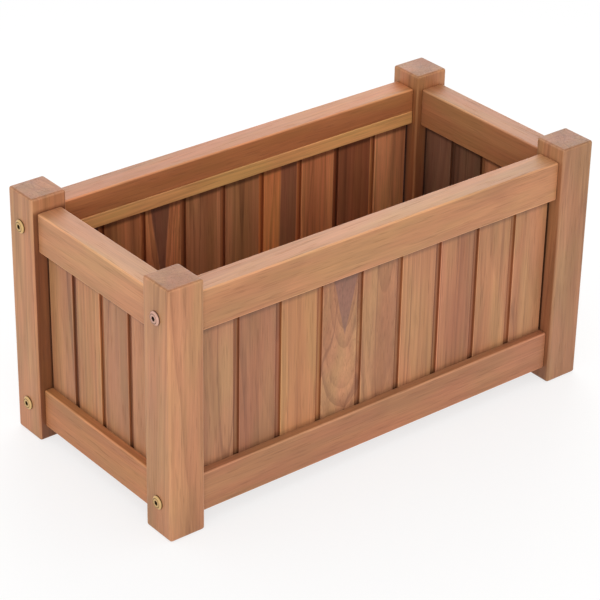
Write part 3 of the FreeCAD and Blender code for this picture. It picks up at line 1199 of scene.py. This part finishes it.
class FastenerTree(ShapeTree):
    """Tree that sets one fastener on each point, facing the way the point says."""

    NAME = "fastener_set"
    INPUTS = {"Fastener": "Object", "Spin seed": "Int"}
    SHARP_FROM = 35.0

    def set_out(self, bench: NodeBench) -> Wire:
        """Set out the fasteners, each with its own turn about its axis.

        Args:
            bench: Bench of the tree.

        Returns:
            The fasteners as instances.
        """
        shape = bench.wire("GeometryNodeObjectInfo", {"Object": bench.given["Fastener"]}, "Geometry")
        facing = bench.named("facing", "FLOAT_VECTOR")
        turn = bench.wire("FunctionNodeAlignRotationToVector", {"Vector": facing}, axis="Z")
        inputs = {2: 0.0, 3: 2 * math.pi, "Seed": bench.given["Spin seed"]}
        spin = bench.wire("FunctionNodeRandomValue", inputs, 1, data_type="FLOAT")
        inputs = {"Rotation": turn, "Rotate By": bench.combined(Z=spin)}
        turned = bench.wire("FunctionNodeRotateRotation", inputs, rotation_space="LOCAL")
        return bench.wire("GeometryNodeInstanceOnPoints", {
            "Points": bench.given[self.POINTS], "Instance": shape, "Rotation": turned,
        })

    def grow(
        self, name: str, fastener: TurnedFastener, places: Sequence[tuple[Vector, Vector]],
        finish: ZincFinish, seed: int,
    ) -> bpy.types.Object:
        """Make all fasteners of one kind as a plain mesh.

        Args:
            name: Name of the object.
            fastener: The turned shape.
            places: Middle of each head's underside or face, and the way that it faces.
            finish: Finish of the metal.
            seed: Seed of the fasteners' turns about their axes.

        Returns:
            The object at the origin.
        """
        pattern = joined_to_scene(name + "_pattern", fastener.mesh(name + "_pattern"))
        middles, facings = zip(*places)
        inputs = {"Fastener": pattern, "Spin seed": seed, "Finish": finish.material()}
        made = self.grow_on(name, [tuple(middle) for middle in middles], {"facing": facings}, inputs, self.SHARP_FROM)
        bpy.data.objects.remove(pattern)
        return made


@dataclass
class SubAssembly(ABC):
    """A group of pieces that is built and dressed together."""

    sizes: BoxSizes

    @abstractmethod
    def build(self) -> list[Piece]:
        """Make and dress the pieces."""

    @staticmethod
    def dress(body: bpy.types.Object, finish: Finish) -> None:
        """Give a finish to an object that has none."""
        body.data.materials.append(finish.material())

    def single(self, name: str, board: PlanedBoard, place: Matrix, finish: TeakFinish) -> Piece:
        """Make and dress the piece of one board.

        Args:
            name: Name of the board's node.
            board: The board.
            place: Matrix from the board's own frame to the box.
            finish: Finish of the wood.

        Returns:
            The piece.
        """
        body = joined_to_scene(f"{name}_wood", board.mesh(name, place))
        even_shading(body)
        self.dress(body, finish)
        return Piece(body, (name,), finish.slot)


@dataclass
class Posts(SubAssembly):
    """The four square posts, which are also the feet."""

    easing: float = 2.6 * MM
    # The inward faces take painted shade, the back left post's front face the most.
    dirt: float = 0.4
    end_dirt: dict[str, float] = field(default_factory=lambda: {"back_left": 2.0})
    looks: dict[str, BoardLook] = field(default_factory=lambda: {
        "front_left": BoardLook(Tone.EVEN, Cut.PLAIN, 3),
        "front_right": BoardLook(Tone.GREY, Cut.PLAIN, 5, True),
        "back_left": BoardLook(Tone.PEARL, Cut.QUARTERED, 8),
        "back_right": BoardLook(Tone.TAWNY, Cut.PLAIN, 12),
    })

    def seam(self) -> Pair:
        """Where the edge of a wall's slats stands, outwards from a post's middle."""
        near = self.sizes.post_side / 2 - self.sizes.rail_setback - self.sizes.slat_setback
        return near - self.sizes.slat_thickness, near

    def build(self) -> list[Piece]:
        """Make and dress the posts.

        Returns:
            One piece for each post.
        """
        pieces = []
        section = PlanedBoard.oblong(self.sizes.post_side, self.sizes.post_side)
        for corner, look in self.looks.items():
            name = f"post_{corner}"
            low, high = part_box(name)
            middle = (low + high) / 2
            reach = self.sizes.rail_base(Level.TOP) - middle.z
            out_x = Vector((math.copysign(1, middle.x), 0, 0))
            out_y = Vector((0, math.copysign(1, middle.y), 0))
            inward = (
                Shelter(-out_x, self.dirt, out_y, self.seam(), reach),
                Shelter(-out_y, self.end_dirt.get(corner, self.dirt), out_x, self.seam(), reach),
            )
            board = PlanedBoard(section, self.sizes.height, self.easing, look, inward)
            pieces.append(self.single(name, board, Matrix.Translation(middle), POST_TEAK))
        return pieces


@dataclass
class Rails(SubAssembly):
    """The top and bottom rails, grooved or rebated for the slats."""

    easing: float = 1.8 * MM
    slat_fit: float = 0.2 * MM
    looks: dict[tuple[Level, Side], BoardLook] = field(default_factory=lambda: {
        (Level.TOP, Side.FRONT): BoardLook(Tone.PALE, Cut.PLAIN, 21),
        (Level.TOP, Side.RIGHT): BoardLook(Tone.TAWNY, Cut.QUARTERED, 22),
        (Level.TOP, Side.BACK): BoardLook(Tone.CHESTNUT, Cut.PLAIN, 23),
        (Level.TOP, Side.LEFT): BoardLook(Tone.PALE, Cut.QUARTERED, 24),
        (Level.BOTTOM, Side.FRONT): BoardLook(Tone.PLUM, Cut.PLAIN, 25),
        (Level.BOTTOM, Side.RIGHT): BoardLook(Tone.EVEN, Cut.PLAIN, 26),
        (Level.BOTTOM, Side.BACK): BoardLook(Tone.ROSE, Cut.QUARTERED, 27),
        (Level.BOTTOM, Side.LEFT): BoardLook(Tone.COPPER, Cut.PLAIN, 28),
    })

    def section(self, level: Level, side: Side) -> list[Corner]:
        """Section of a rail about its middle, across its face from the underside and through from outside.

        Args:
            level: Top or bottom rail.
            side: Wall of the rail.

        Returns:
            The corners in order.
        """
        low, high = -self.sizes.rail_height / 2, self.sizes.rail_height / 2
        out, back = -self.sizes.rail_thickness / 2, self.sizes.rail_thickness / 2
        near = out + self.sizes.slat_setback
        far = near + self.sizes.slat_thickness
        outside = [Corner(low, out), Corner(high, out)]
        if level is Level.TOP and side.is_long:
            step = low + self.sizes.rebate_height
            rebate = [Corner(step, near, False, False), Corner(low, near, False)]
            return [*outside, Corner(high, back), Corner(step, back, True, False), *rebate]
        inside = [Corner(high, back), Corner(low, back)]
        near, far = near - self.slat_fit, far + self.slat_fit
        if level is Level.TOP:
            return [*outside, *inside, *self.groove(low, low + self.sizes.groove_depth, far, near)]
        return [*outside, *self.groove(high, high - self.sizes.groove_depth, near, far), *inside]

    @staticmethod
    def groove(mouth: float, floor: float, first: float, last: float) -> list[Corner]:
        """Corners of a groove with sharp edges, from its mouth and floor across the rail and its two sides."""
        sharp = [Corner(*place, False, False) for place in ((mouth, first), (floor, first), (floor, last))]
        return [*sharp, Corner(mouth, last, False)]

    def build(self) -> list[Piece]:
        """Make and dress the rails.

        Returns:
            One piece for each rail.
        """
        pieces = []
        for (level, side), look in self.looks.items():
            middle = self.sizes.rail_base(level) + self.sizes.rail_height / 2
            place = self.sizes.stand(side) @ Matrix.Translation((0, self.sizes.rail_thickness / 2, middle)) @ LAID
            board = PlanedBoard(self.section(level, side), self.sizes.span(side), self.easing, look)
            pieces.append(self.single(f"{level.value}_rail_{side.word}", board, place, RAIL_TEAK))
        return pieces


@dataclass
class SlatWalls(SubAssembly):
    """The tongued slats of the four walls, one row for each wall."""

    gap: float = 6.5 * MM
    end_gap: float = 2 * MM
    head_room: float = 1 * MM
    easing: float = 0.9 * MM
    tongue_thickness: float = 5 * MM
    tongue_bite: float = 0.4 * MM
    looks: dict[Side, tuple[BoardLook, ...]] = field(default_factory=lambda: {
        Side.FRONT: numbered(
            31, (Tone.GREY, Cut.PLAIN), (Tone.MAUVE, Cut.PLAIN), (Tone.STRAW, Cut.QUARTERED, False, 0.5),
            (Tone.SILVER, Cut.HEART), (Tone.SILVER, Cut.CROWN), (Tone.PALE, Cut.QUARTERED),
            (Tone.ROSE, Cut.QUARTERED), (Tone.PALE, Cut.PLAIN), (Tone.PEARL, Cut.PLAIN),
        ),
        Side.BACK: numbered(
            41, (Tone.BLOND, Cut.PLAIN), (Tone.SOOT, Cut.QUARTERED, False, 0.9),
            (Tone.APRICOT, Cut.QUARTERED, False, 0.7), (Tone.GILT, Cut.PITHY, True, 0.8),
            (Tone.UMBER, Cut.QUARTERED), (Tone.HAZEL, Cut.PLAIN, False, 1.1),
            (Tone.APRICOT, Cut.CROWN, False, 1.2), (Tone.RUSSET, Cut.QUARTERED), (Tone.SOOT, Cut.PLAIN),
        ),
        Side.LEFT: numbered(
            51, (Tone.EVEN, Cut.PLAIN, False, 1.3), (Tone.HONEY, Cut.QUARTERED), (Tone.HAZEL, Cut.PLAIN),
            (Tone.PALE, Cut.PLAIN, False, 1.2),
        ),
        Side.RIGHT: numbered(
            61, (Tone.UMBER, Cut.PLAIN), (Tone.GREY, Cut.PLAIN), (Tone.SLATE, Cut.QUARTERED),
            (Tone.SLATE, Cut.PLAIN),
        ),
    })

    def build(self) -> list[Piece]:
        """Make and dress the rows of slats.

        Returns:
            One piece for each wall.
        """
        sizes = self.sizes
        foot = sizes.rail_base(Level.BOTTOM) + sizes.rail_height - sizes.groove_depth
        middle = Vector((0, sizes.slat_setback + sizes.slat_thickness / 2, 0))
        pieces = []
        for side, looks in self.looks.items():
            pitch = (sizes.span(side) - 2 * self.end_gap + self.gap) / len(looks)
            depth = sizes.rebate_height if side.is_long else sizes.groove_depth
            row = BoardRowTree().grow(f"slats_{side.word}_wood", looks, {
                "Board pitch": pitch, "Board width": pitch - self.gap, "Board thickness": sizes.slat_thickness,
                "Board foot": foot, "Board head": sizes.rail_base(Level.TOP) + depth - self.head_room,
                "Board easing": self.easing,
                "Tongue width": self.gap + 2 * self.tongue_bite, "Tongue thickness": self.tongue_thickness,
                "Row turn": (0.0, 0.0, side.turn), "Row place": tuple(sizes.stand(side) @ middle),
                "Finish": SLAT_TEAK.material(),
            })
            nodes = tuple(f"slat_{side.word}_{number}" for number in range(1, len(looks) + 1))
            pieces.append(Piece(row, nodes, SLAT_TEAK.slot))
        return pieces


@dataclass
class LongBattens(SubAssembly):
    """Stop beads and floor ledgers along the inner faces of the long rails."""

    bead_easing: float = 0.6 * MM
    ledger_easing: float = 1.2 * MM
    looks: dict[str, BoardLook] = field(default_factory=lambda: {
        "stop_bead_front": BoardLook(Tone.EVEN, Cut.QUARTERED, 71),
        "stop_bead_back": BoardLook(Tone.EVEN, Cut.QUARTERED, 72),
        "floor_ledger_front": BoardLook(Tone.EVEN, Cut.PLAIN, 73),
        "floor_ledger_back": BoardLook(Tone.TAWNY, Cut.PLAIN, 74),
    })

    def build(self) -> list[Piece]:
        """Make and dress the beads and ledgers.

        Returns:
            One piece for each batten.
        """
        pieces = []
        for name, look in self.looks.items():
            is_bead = name.startswith("stop_bead")
            finish, easing = (BEAD_TEAK, self.bead_easing) if is_bead else (FLOOR_TEAK, self.ledger_easing)
            low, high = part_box(name)
            size = high - low
            board = PlanedBoard(PlanedBoard.oblong(size.z, size.y), size.x, easing, look)
            pieces.append(self.single(name, board, Matrix.Translation((low + high) / 2) @ LAID, finish))
        return pieces


@dataclass
class SlattedFloor(SubAssembly):
    """The floor boards, laid across the ledgers with drain gaps between them."""

    gap: float = 5 * MM
    easing: float = 1.2 * MM
    looks: tuple[BoardLook, ...] = numbered(
        81, (Tone.EVEN, Cut.PLAIN), (Tone.TAWNY, Cut.QUARTERED), (Tone.EVEN, Cut.CROWN),
        (Tone.UMBER, Cut.PLAIN), (Tone.HONEY, Cut.QUARTERED), (Tone.EVEN, Cut.PLAIN),
        (Tone.RUSSET, Cut.PLAIN), (Tone.EVEN, Cut.CROWN), (Tone.TAWNY, Cut.PLAIN),
    )

    def build(self) -> list[Piece]:
        """Make and dress the row of floor boards.

        Returns:
            One piece for all boards.
        """
        nodes = self.sizes.floor_boards()
        low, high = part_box(nodes[0])
        width = high.x - low.x
        row = BoardRowTree().grow("floor_boards_wood", self.looks, {
            "Board pitch": width + self.gap, "Board width": width, "Board thickness": high.z - low.z,
            "Board foot": low.y, "Board head": high.y, "Board easing": self.easing,
            "Tongue width": 0.0, "Tongue thickness": 0.0,
            "Row turn": (-QUARTER, 0.0, 0.0), "Row place": (0.0, 0.0, (low.z + high.z) / 2),
            "Finish": FLOOR_TEAK.material(),
        })
        return [Piece(row, nodes, FLOOR_TEAK.slot)]


@dataclass
class ConnectorBolts(SubAssembly):
    """The flat-headed bolts through the posts' end faces, and the insert nuts that they screw into."""

    head_radius: float = 6.75 * MM
    head_height: float = 2.6 * MM
    rim: float = 1.2 * MM
    rim_drop: float = 0.1 * MM
    shoulder: Pair = (0.3 * MM, 0.25 * MM)
    under_edge: float = 0.15 * MM
    bevel: float = 1.6 * MM
    groove: tuple[float, float, float, float] = (1.1 * MM, 0.9 * MM, 0.4 * MM, 0.2 * MM)
    groove_depth: float = 0.2 * MM
    groove_lip: float = 0.05 * MM
    stem_radius: float = 3 * MM
    stem: float = 53 * MM
    socket_half: float = 2 * MM
    socket_depth: float = 2.2 * MM
    socket_mouth: Pair = (0.25 * MM, 0.3 * MM)
    # Painted shade at the socket's mouth, in the groove and down the rim.
    mouth_dirt: float = 0.3
    groove_dirt: float = 0.8
    rim_dirt: Pair = (0.55, 0.9)
    levels: Pair = (34 * MM, 223 * MM)
    sides: int = 48
    seed: int = 4

    def shape(self) -> TurnedFastener:
        """Head with a bevel, a fine groove round its face and a hexagon socket.

        Returns:
            The turned shape.
        """
        top, floor = self.head_height, self.head_height - self.socket_depth
        inner, start, end, outer = (self.head_radius - self.bevel - inwards for inwards in self.groove)
        flare, flare_depth = self.socket_mouth
        hexagon = RingShape.HEXAGON
        # Each ring's recess value is its painted shade: black in the socket and under the head, dark in the groove
        # and down the rim.
        rings = (
            Ring(0, floor, recess=1),
            Ring(self.socket_half, floor, hexagon, 1),
            Ring(self.socket_half, top - flare_depth, hexagon, 1),
            Ring(self.socket_half + flare, top, hexagon, self.mouth_dirt),
            Ring(inner, top),
            Ring(start, top - self.groove_depth, recess=self.groove_dirt),
            Ring(end, top - self.groove_depth, recess=self.groove_dirt),
            Ring(outer, top - self.groove_lip),
            Ring(self.head_radius - self.shoulder[0], self.rim + self.shoulder[1]),
            Ring(self.head_radius, self.rim - self.rim_drop, recess=self.rim_dirt[0]),
            Ring(self.head_radius, self.under_edge, recess=self.rim_dirt[1]),
            Ring(self.head_radius - self.under_edge, 0, recess=1),
            Ring(self.stem_radius, 0),
            Ring(self.stem_radius, -self.stem),
            Ring(0, -self.stem),
        )
        return TurnedFastener(rings, [2 * math.pi * side / self.sides for side in range(self.sides)])

    def build(self) -> list[Piece]:
        """Make and dress the bolts, and dress the insert nuts.

        Returns:
            One piece for all bolts.
        """
        depth = self.sizes.reach(Side.FRONT) - self.sizes.rail_thickness / 2
        places = [
            (Vector((x_side * self.sizes.length / 2, y_side * depth, level)), Vector((x_side, 0, 0)))
            for x_side in (-1, 1) for y_side in (-1, 1) for level in self.levels
        ]
        bolts = FastenerTree().grow("connector_bolts_metal", self.shape(), places, BOLT_ZINC, self.seed)
        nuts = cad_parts["insert_nuts"]
        nuts.data.materials.clear()
        self.dress(nuts, INSERT_ZINC)
        return [Piece(bolts, ("connector_bolts",), BOLT_ZINC.slot)]


@dataclass
class WoodScrews(SubAssembly):
    """Countersunk screws with cross recesses, which hold the floor boards and the ledgers."""

    head_radius: float = 3.4 * MM
    head_edge: float = 0.15 * MM
    head_depth: float = 1.9 * MM
    stem_radius: float = 1.75 * MM
    point: float = 3 * MM
    arm_reach: float = 2 * MM
    arm_half: float = 0.5 * MM
    recess_depth: float = 1.4 * MM
    deep_shares: Triple = (0.55, 0.75, 0.6)
    # Painted shade at the mouth of the cross recess.
    mouth_dirt: float = 0.6
    floor_stem: float = 22 * MM
    ledger_stem: float = 29 * MM
    ledger_width: float = 15 * MM
    ledger_middle: float = 29 * MM
    floor_top: float = 50 * MM
    floor_seed: int = 7
    ledger_seed: int = 9

    def shape(self, stem: float) -> TurnedFastener:
        """Screw of one length, with its face at z = 0.

        Args:
            stem: Length from the face to the point.

        Returns:
            The turned shape.
        """
        cross = RingShape.CROSS
        reach, depth, half = self.deep_shares
        # Each ring's recess value is its painted shade: black in the cross recess, lighter at its mouth.
        rings = (
            Ring(0, -self.recess_depth, recess=1),
            Ring(self.arm_reach * reach, -self.recess_depth * depth, cross, 1, self.arm_half * half),
            Ring(self.arm_reach, 0, cross, self.mouth_dirt, self.arm_half),
            Ring(self.head_radius - self.head_edge, 0),
            Ring(self.head_radius, -self.head_edge),
            Ring(self.stem_radius, -self.head_depth),
            Ring(self.stem_radius, self.point - stem),
            Ring(0, -stem),
        )
        corner = math.atan2(self.arm_half, self.arm_reach)
        between = (corner + QUARTER / 2) / 2
        turns = (0.0, corner, between, QUARTER / 2, QUARTER - between, QUARTER - corner)
        return TurnedFastener(rings, [QUARTER * step + turn for step in range(4) for turn in turns])

    def build(self) -> list[Piece]:
        """Make and dress both kinds of screws.

        Returns:
            One piece for each kind.
        """
        inner = self.sizes.reach(Side.FRONT) - self.sizes.rail_thickness
        boxes = [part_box(name) for name in self.sizes.floor_boards()]
        middles = [(low.x + high.x) / 2 for low, high in boxes]
        floor = [
            (Vector((x, y_side * (inner - self.ledger_width / 2), self.floor_top)), UP)
            for x in middles for y_side in (-1, 1)
        ]
        gaps = [(left + right) / 2 for left, right in zip(middles, middles[1:])]
        third = len(gaps) // 3
        ledger = [
            (Vector((x, y_side * (inner - self.ledger_width), self.ledger_middle)), Vector((0, -y_side, 0)))
            for x in (gaps[0], gaps[third], gaps[-1 - third], gaps[-1]) for y_side in (-1, 1)
        ]
        return [
            Piece(
                FastenerTree().grow(f"{node}_metal", self.shape(stem), places, SCREW_ZINC, seed),
                (node,), SCREW_ZINC.slot,
            )
            for node, stem, places, seed in (
                ("floor_screws", self.floor_stem, floor, self.floor_seed),
                ("ledger_screws", self.ledger_stem, ledger, self.ledger_seed),
            )
        ]


@dataclass
class Studio:
    """Pale floor, white surround and soft lamps."""

    floor_radius: float = 9.0
    floor_sides: int = 96
    floor_drop: float = 0.2 * MM
    floor_colour: Triple = (0.92, 0.92, 0.92)
    seen_colour: Triple = (0.32, 0.32, 0.32)
    seen_lift: float = 0.71
    fade: Pair = (0.5, 1.1)
    ambient: float = 0.8
    aim: Triple = (0, 0, 0.12)
    lamps: dict[str, tuple[Triple, float, float]] = field(default_factory=lambda: {
        "overhead softbox": ((0, 0, 2.6), 2.4, 2.0),
        "side softbox": ((-1.9, -2.3, 0.95), 1.6, 21.0),
        "rear softbox": ((1.75, 2.15, 1.55), 2.2, 31.0),
    })

    def build(self) -> None:
        """Make the floor, the world and the lamps."""
        self.lay_floor()
        self.light_world()
        for name, (place, size, watts) in self.lamps.items():
            self.hang(name, place, size, watts)
        bpy.context.scene.view_settings.view_transform = "Standard"

    @staticmethod
    def seen(bench: NodeBench) -> Wire:
        """Whether a ray comes straight from the camera or by way of metal or glass.

        Args:
            bench: Bench of a shader tree.

        Returns:
            1 for such a ray, and nought for others.
        """
        path = bench.add("ShaderNodeLightPath").outputs
        camera, glossy, clear = (Wire(bench, path[f"Is {kind} Ray"]) for kind in ("Camera", "Glossy", "Transmission"))
        return camera.then("MAXIMUM", glossy.then("MAXIMUM", clear))

    def lay_floor(self) -> None:
        """Lay a round pale floor that keeps shadows near the box, fades to white far away and is clear from below."""
        work = bmesh.new()
        below = Matrix.Translation((0, 0, -self.floor_drop))
        bmesh.ops.create_circle(
            work, cap_ends=True, segments=self.floor_sides, radius=self.floor_radius, matrix=below,
        )
        mesh = bpy.data.meshes.new("studio_floor")
        work.to_mesh(mesh)
        work.free()
        floor = joined_to_scene("studio_floor", mesh)
        paint = bpy.data.materials.new("pale_floor")
        paint.use_nodes = True
        nodes = paint.node_tree.nodes
        nodes.remove(nodes["Principled BSDF"])
        bench = NodeBench(paint.node_tree)
        matte, paler = (
            bench.wire("ShaderNodeBsdfDiffuse", {"Color": colour}) for colour in (self.floor_colour, self.seen_colour)
        )
        lift, white = (bench.wire("ShaderNodeEmission", {"Strength": glow}) for glow in (self.seen_lift, 1.0))
        lifted = bench.wire("ShaderNodeAddShader", {0: paler, 1: lift})
        shown = bench.mix(bench.spot().measure("LENGTH").step(*self.fade), lifted, white)
        behind = bench.wire("ShaderNodeNewGeometry", {}, "Backfacing")
        clear = bench.wire("ShaderNodeBsdfTransparent")
        sided = bench.mix(behind, bench.mix(self.seen(bench), matte, shown), clear)
        bench.feed(nodes["Material Output"].inputs["Surface"], sided)
        mesh.materials.append(paint)

    def light_world(self) -> None:
        """Light the box evenly from all round, before white."""
        world = bpy.data.worlds.new("white_studio")
        bpy.context.scene.world = world
        world.use_nodes = True
        nodes = world.node_tree.nodes
        nodes.remove(nodes["Background"])
        bench = NodeBench(world.node_tree)
        soft, white = (
            bench.wire("ShaderNodeBackground", {"Color": WHITE, "Strength": glow}) for glow in (self.ambient, 1.0)
        )
        bench.feed(nodes["World Output"].inputs["Surface"], bench.mix(self.seen(bench), soft, white))

    def hang(self, name: str, place: Triple, size: float, watts: float) -> None:
        """Hang a square softbox that looks at the box.

        Args:
            name: Name of the lamp.
            place: Where it hangs.
            size: Length of its side.
            watts: Its power.
        """
        lamp = bpy.data.lights.new(name, "AREA")
        lamp.size = size
        lamp.energy = watts
        hung = joined_to_scene(name, lamp)
        hung.location = place
        hung.rotation_euler = (Vector(self.aim) - Vector(place)).to_track_quat("-Z", "Y").to_euler()


@dataclass
class PhotoCamera:
    """Camera at the photograph's viewing angle."""

    azimuth: float = -38.942
    elevation: float = 29.167
    roll: float = 1.07
    right: float = -2.862 * MM
    rise: float = 95.807 * MM
    distance: float = 2363.15 * MM
    focal: float = 143.71
    sensor: float = 36.0

    def build(self) -> None:
        """Make the camera and look through it."""
        turn, lift, tilt = (math.radians(angle) for angle in (self.azimuth, self.elevation, self.roll))
        back = Vector((math.sin(turn) * math.cos(lift), -math.cos(turn) * math.cos(lift), math.sin(lift)))
        level = Vector((math.cos(turn), math.sin(turn), 0))
        upright = back.cross(level)
        right = math.cos(tilt) * level + math.sin(tilt) * upright
        rise = math.cos(tilt) * upright - math.sin(tilt) * level
        place = self.right * right + self.rise * rise + self.distance * back
        lens = bpy.data.cameras.new("photo_camera")
        lens.lens = self.focal
        lens.sensor_width = self.sensor
        camera = joined_to_scene("photo_camera", lens)
        camera.matrix_world = Matrix.Translation(place) @ Matrix((right, rise, back)).transposed().to_4x4()
        bpy.context.scene.camera = camera


def main() -> None:
    """Build and dress the box, light it and look at it."""
    logging.basicConfig(level=logging.INFO, format="%(name)s: %(message)s")
    sizes = BoxSizes()
    for kind in (Posts, Rails, SlatWalls, LongBattens, SlattedFloor, ConnectorBolts, WoodScrews):
        for piece in kind(sizes).build():
            piece.hand_over()
    Studio().build()
    PhotoCamera().build()


if __name__ == "__main__":
    main()
